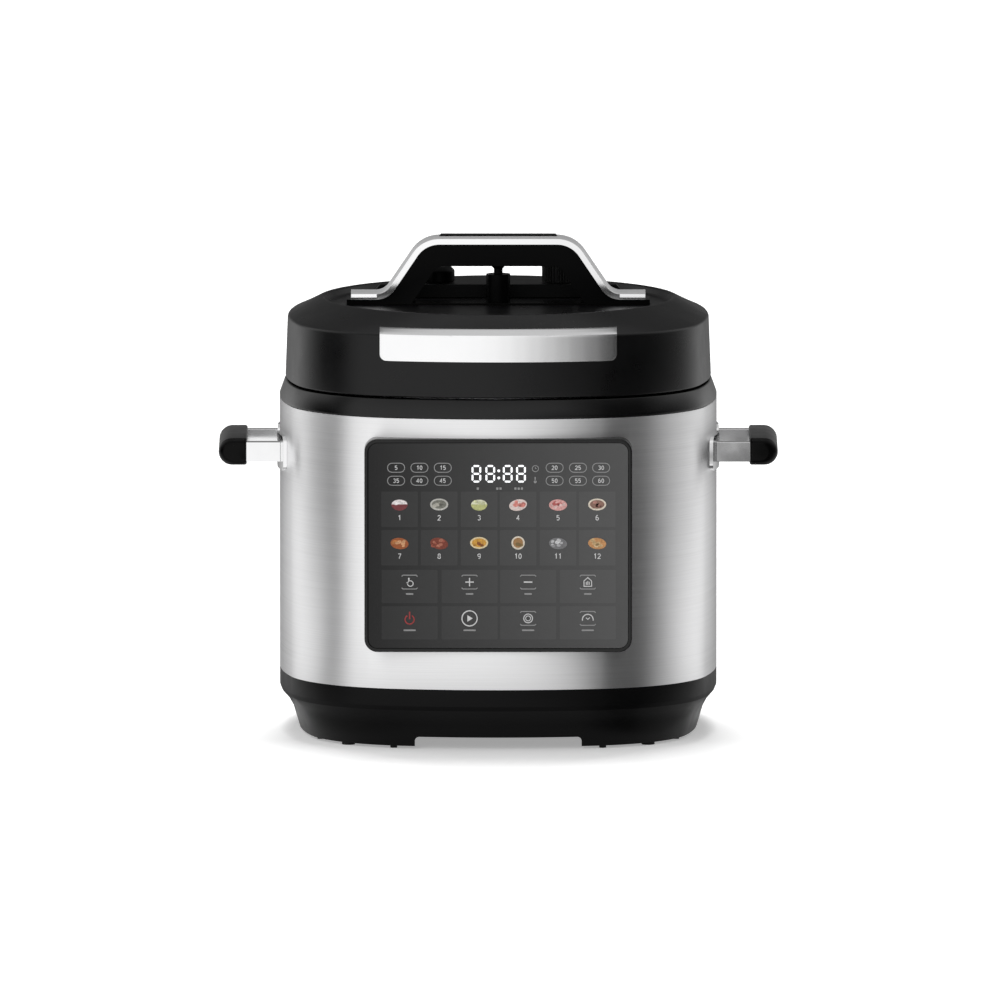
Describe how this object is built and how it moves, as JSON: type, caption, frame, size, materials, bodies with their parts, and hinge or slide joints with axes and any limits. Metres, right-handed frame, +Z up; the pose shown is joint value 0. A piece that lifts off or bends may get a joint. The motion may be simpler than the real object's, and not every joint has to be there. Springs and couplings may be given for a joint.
{
  "type": "electric pressure cooker",
  "caption": "Squared-round electric pressure cooker: brushed steel body, flat touch panel, bayonet lid with bridge handle and steam release, lift-out pot and side handles.",
  "frame": {"origin": "on the floor under the pot axis, midway between the control panel's face and the mains inlet's face", "axes": "+Z up, -Y towards the front with the control panel, +X to the right hand of someone facing the panel"},
  "size_m": [0.3836, 0.307, 0.3403],
  "materials": {
    "base_black": "satin black moulding",
    "collar_black": "gloss black moulding",
    "lid_black": "satin black moulding",
    "body_steel": "brushed round the body",
    "panel_black": "gloss black moulding",
    "panel_glass": "dark grey printed touch panel",
    "handle_chrome": "polished",
    "grip_black": "satin black",
    "strap_silver": "satin silver",
    "badge_silver": "satin silver",
    "core_black": "half gloss black",
    "knob_black": "satin black",
    "pot_steel": "drawn steel",
    "plate_steel": "pressed steel",
    "spring_steel": "bright wire",
    "screw_steel": "zinc",
    "heater_alu": "as cast",
    "element_metal": "dull sheath",
    "shield_alu": "plain sheet",
    "pin_brass": "plated",
    "board_green": "circuit board",
    "parts_dark": "moulded components",
    "seal_silicone": "clear white silicone",
    "foot_rubber": "black rubber"
  },
  "bodies": {
    "base": {"base_shell": "base_black", "rubber_feet": "foot_rubber", "bottom_cover": "base_black", "bottom_screws": "screw_steel", "power_board": "board_green", "board_parts": "parts_dark", "steel_body": "body_steel", "top_collar": "collar_black", "outer_pot": "plate_steel", "heat_shield": "shield_alu", "heating_plate": "heater_alu", "heating_element": "element_metal", "sensor_holder": "plate_steel", "sensor_spring": "spring_steel", "spring_bracket": "plate_steel", "pressure_switch": "parts_dark", "thermal_fuse": "parts_dark", "panel_housing": "panel_black", "panel_glass": "panel_glass", "control_board": "board_green", "display_module": "parts_dark", "inlet_pins": "pin_brass", "power_inlet": "panel_black", "right_handle_bars": "handle_chrome", "right_handle_plates": "handle_chrome", "right_handle_grip": "grip_black", "left_handle_bars": "handle_chrome", "left_handle_plates": "handle_chrome", "left_handle_grip": "grip_black", "handle_bolts": "screw_steel"},
    "inner_pot": {"inner_pot": "pot_steel"},
    "sensor": {"temperature_sensor": "heater_alu"},
    "inner_cover": {"inner_cover": "plate_steel", "sealing_ring": "seal_silicone"},
    "lid": {"lid_shell": "lid_black", "lid_badge": "badge_silver", "valve_deck": "lid_black", "pressure_lid": "plate_steel", "lid_screws": "screw_steel", "centre_tube": "plate_steel", "handle_strap": "strap_silver", "handle_core": "core_black", "handle_screws": "screw_steel", "release_post": "core_black", "button_spring": "spring_steel", "vent_pipe": "plate_steel", "pipe_guard": "plate_steel"},
    "release": {"release_button": "core_black", "push_rod": "knob_black", "release_seal": "seal_silicone"},
    "knob": {"pressure_knob": "knob_black"},
    "float": {"float_cap": "knob_black", "float_pin": "plate_steel", "float_seal": "seal_silicone"}
  },
  "joints": [
    {"name": "lid_lift", "type": "slide", "parent": "base", "child": "inner_cover", "axis": [0, 0, 1], "range_m": [0, 0.4]},
    {"name": "lid_turn", "type": "hinge", "parent": "inner_cover", "child": "lid", "pos_m": [0, 0, 0.25], "axis": [0, 0, -1], "range_deg": [0, 30]},
    {"name": "pot_lift", "type": "slide", "parent": "base", "child": "inner_pot", "axis": [0, 0, 1], "range_m": [0, 0.2]},
    {"name": "sensor_press", "type": "slide", "parent": "base", "child": "sensor", "axis": [0, 0, 1], "range_m": [-0.002, 0], "stiffness_N_per_m": 600, "springref_m": 0.002, "deforming": ["sensor_spring"]},
    {"name": "release_press", "type": "slide", "parent": "lid", "child": "release", "axis": [0, 0, -1], "range_m": [0, 0.003], "stiffness_N_per_m": 500, "springref_m": -0.004, "deforming": ["button_spring"]},
    {"name": "knob_turn", "type": "hinge", "parent": "lid", "child": "knob", "pos_m": [0.041, 0.046, 0.305], "axis": [0, 0, 1], "range_deg": [0, 60]},
    {"name": "float_rise", "type": "slide", "parent": "lid", "child": "float", "axis": [0, 0, 1], "range_m": [0, 0.004]}
  ],
  "couplings": [
    {"joint": "pot_lift", "follows": "lid_lift", "ratio": 0.5}
  ]
}
